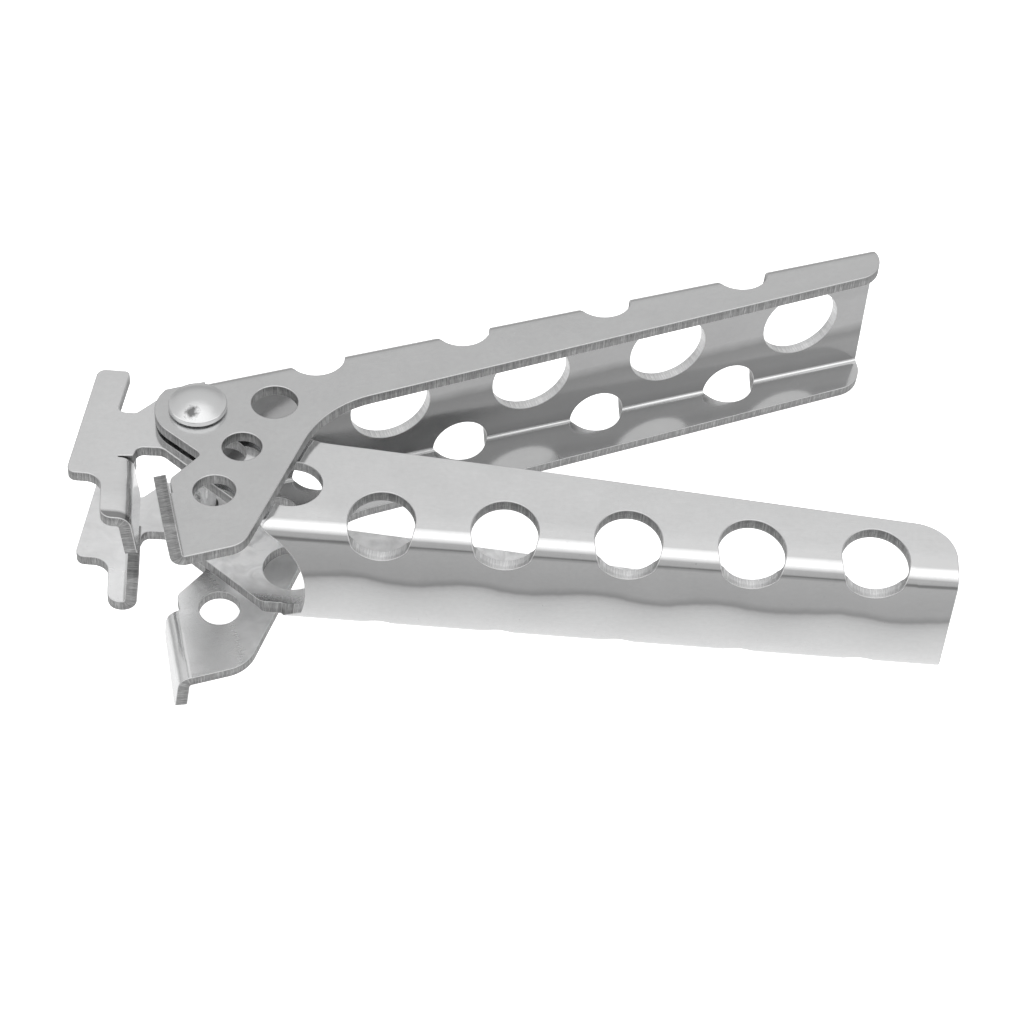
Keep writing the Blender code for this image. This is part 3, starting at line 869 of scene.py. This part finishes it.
def resting_plane():
    """Origin and upward normal of the surface that the gripper lies on: it touches a lower jaw tab and the
    lower corner of each handle's free end."""
    points = []
    for node in ("outer_handle", "inner_handle"):
        points += [vert.co.copy() for vert in frame["nodes"][node].data.vertices]
    foot = min(points, key=lambda p: p.z)
    ends = [p for p in points if p.x > foot.x + FREE_ENDS_FROM]
    inner_end = min((p for p in ends if p.y < 0), key=lambda p: (p.z - foot.z) / (p.x - foot.x))
    outer_end = min((p for p in ends if p.y > 0), key=lambda p: p.z)
    normal = (inner_end - foot).cross(outer_end - foot).normalized()
    if normal.z < 0:
        normal.negate()
    return foot, normal


def floor():
    """Pale floor in the resting plane. It glows a little so that it stays white in the gripper's shade."""
    foot, normal = resting_plane()
    mesh = bmesh.new()
    bmesh.ops.create_grid(mesh, x_segments=1, y_segments=1, size=FLOOR_HALF)
    data = bpy.data.meshes.new("floor")
    mesh.to_mesh(data)
    mesh.free()
    obj = bpy.data.objects.new("floor", data)
    bpy.context.scene.collection.objects.link(obj)
    turn = normal.to_track_quat("Z", "Y").to_matrix().to_4x4()
    obj.matrix_world = Matrix.Translation(foot - normal * FLOOR_GAP) @ turn
    obj.visible_glossy = False
    material = bpy.data.materials.new("pale_floor")
    material.use_nodes = True
    shader = material.node_tree.nodes["Principled BSDF"]
    shader.inputs["Base Color"].default_value = (FLOOR_GREY, FLOOR_GREY, FLOOR_GREY, 1)
    shader.inputs["Roughness"].default_value = 0.9
    shader.inputs["Specular IOR Level"].default_value = 0.0
    shader.inputs["Emission Color"].default_value = (1, 1, 1, 1)
    shader.inputs["Emission Strength"].default_value = FLOOR_GLOW
    data.materials.append(material)


# Brightness of the studio that the steel reflects, from straight down (0) over the horizon (0.5) to straight
# up (1), on the camera's side and beyond the gripper
CAMERA_SIDE = (
    (0.0, 1.0), (0.30, 1.0), (0.38, 0.50), (0.49, 0.42), (0.56, 1.0), (0.72, 1.1), (0.88, 1.1), (1.0, 1.2),
)
BEYOND = (
    (0.0, 1.0), (0.32, 0.9), (0.45, 0.45), (0.55, 0.42), (0.68, 0.58), (0.76, 0.63), (0.90, 0.67),
    (0.95, 0.9), (1.0, 1.2),
)
HIGHEST = 1.2
SIDE_BLEND = 0.25
PLAIN_LIGHT = 1.15
GLOSSY_BOUNCES = 12


def world():
    """Soft studio: reflections see the two sides of it, and everything else a plain white surround."""
    studio = bpy.data.worlds.new("studio")
    bpy.context.scene.world = studio
    studio.use_nodes = True
    tree = studio.node_tree
    tree.nodes.clear()
    make = tree.nodes.new
    link = tree.links.new
    place = make("ShaderNodeTexCoord")
    parts = make("ShaderNodeSeparateXYZ")
    link(place.outputs["Generated"], parts.inputs[0])
    height = make("ShaderNodeMapRange")
    height.inputs["From Min"].default_value = -1.0
    height.inputs["From Max"].default_value = 1.0
    link(parts.outputs["Z"], height.inputs["Value"])
    ramps = []
    for stops in (CAMERA_SIDE, BEYOND):
        ramp = make("ShaderNodeValToRGB")
        while len(ramp.color_ramp.elements) < len(stops):
            ramp.color_ramp.elements.new(0.5)
        for element, (where, value) in zip(ramp.color_ramp.elements, stops):
            element.position = where
            element.color = (value / HIGHEST, value / HIGHEST, value / HIGHEST, 1)
        link(height.outputs[0], ramp.inputs["Fac"])
        ramps.append(ramp)
    side = make("ShaderNodeMapRange")
    side.interpolation_type = "SMOOTHSTEP"
    side.inputs["From Min"].default_value = -SIDE_BLEND
    side.inputs["From Max"].default_value = SIDE_BLEND
    link(parts.outputs["Y"], side.inputs["Value"])
    mix = make("ShaderNodeMix")
    mix.data_type = "RGBA"
    link(side.outputs[0], mix.inputs["Factor"])
    link(ramps[0].outputs["Color"], mix.inputs["A"])
    link(ramps[1].outputs["Color"], mix.inputs["B"])
    seen = make("ShaderNodeBackground")
    seen.inputs["Strength"].default_value = HIGHEST
    link(mix.outputs["Result"], seen.inputs["Color"])
    plain = make("ShaderNodeBackground")
    plain.inputs["Color"].default_value = (1, 1, 1, 1)
    plain.inputs["Strength"].default_value = PLAIN_LIGHT
    path = make("ShaderNodeLightPath")
    choose = make("ShaderNodeMixShader")
    link(path.outputs["Is Glossy Ray"], choose.inputs["Fac"])
    link(plain.outputs[0], choose.inputs[1])
    link(seen.outputs[0], choose.inputs[2])
    out = make("ShaderNodeOutputWorld")
    link(choose.outputs[0], out.inputs["Surface"])


def main():
    pivot = Vector(frame["joints"][0]["pos_m"])
    sheared = sheared_steel("sheared_edge", 0.33, pivot)
    corner = corner_steel("worn_corner", 0.66)
    outer = outer_handle(pivot)
    inner = inner_handle(pivot)
    outer_reflection_waves = (OUTER_WEB_HOLE_FIRST, OUTER_BEND_HOLE_PITCH, 0.5)
    inner_reflection_waves = (INNER_BEND_HOLE_FIRST, INNER_BEND_HOLE_PITCH, 0.6)
    faces = (
        (outer, (
            sheet_steel("outer_outside", OUTER_OUTSIDE, outer_reflection_waves, 0.17),
            sheet_steel("outer_inside", OUTER_INSIDE, outer_reflection_waves, 0.11,
                        lean=0.047, lift=0.0006, scuff_start=-23.0, scuff=0.20),
        )),
        (inner, (
            sheet_steel("inner_outside", INNER_OUTSIDE, inner_reflection_waves, 0.12, lift=0.0004),
            sheet_steel("inner_inside", INNER_INSIDE, inner_reflection_waves, 0.14, scuff_start=-11.0, scuff=0.50),
        )),
    )
    for piece, materials in faces:
        for material in materials + (sheared, corner):
            piece.data.materials.append(material)
    pin = rivet(pivot)
    pin.data.materials.append(rivet_steel(pivot))
    for piece, body, node in (
        (outer, "outer", "outer_handle"),
        (inner, "inner", "inner_handle"),
        (pin, "outer", "pivot_rivet"),
    ):
        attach(piece, body)
        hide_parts(node)
    camera(pivot)
    floor()
    world()
    bpy.context.scene.view_settings.view_transform = "Standard"
    bpy.context.scene.cycles.glossy_bounces = GLOSSY_BOUNCES


main()
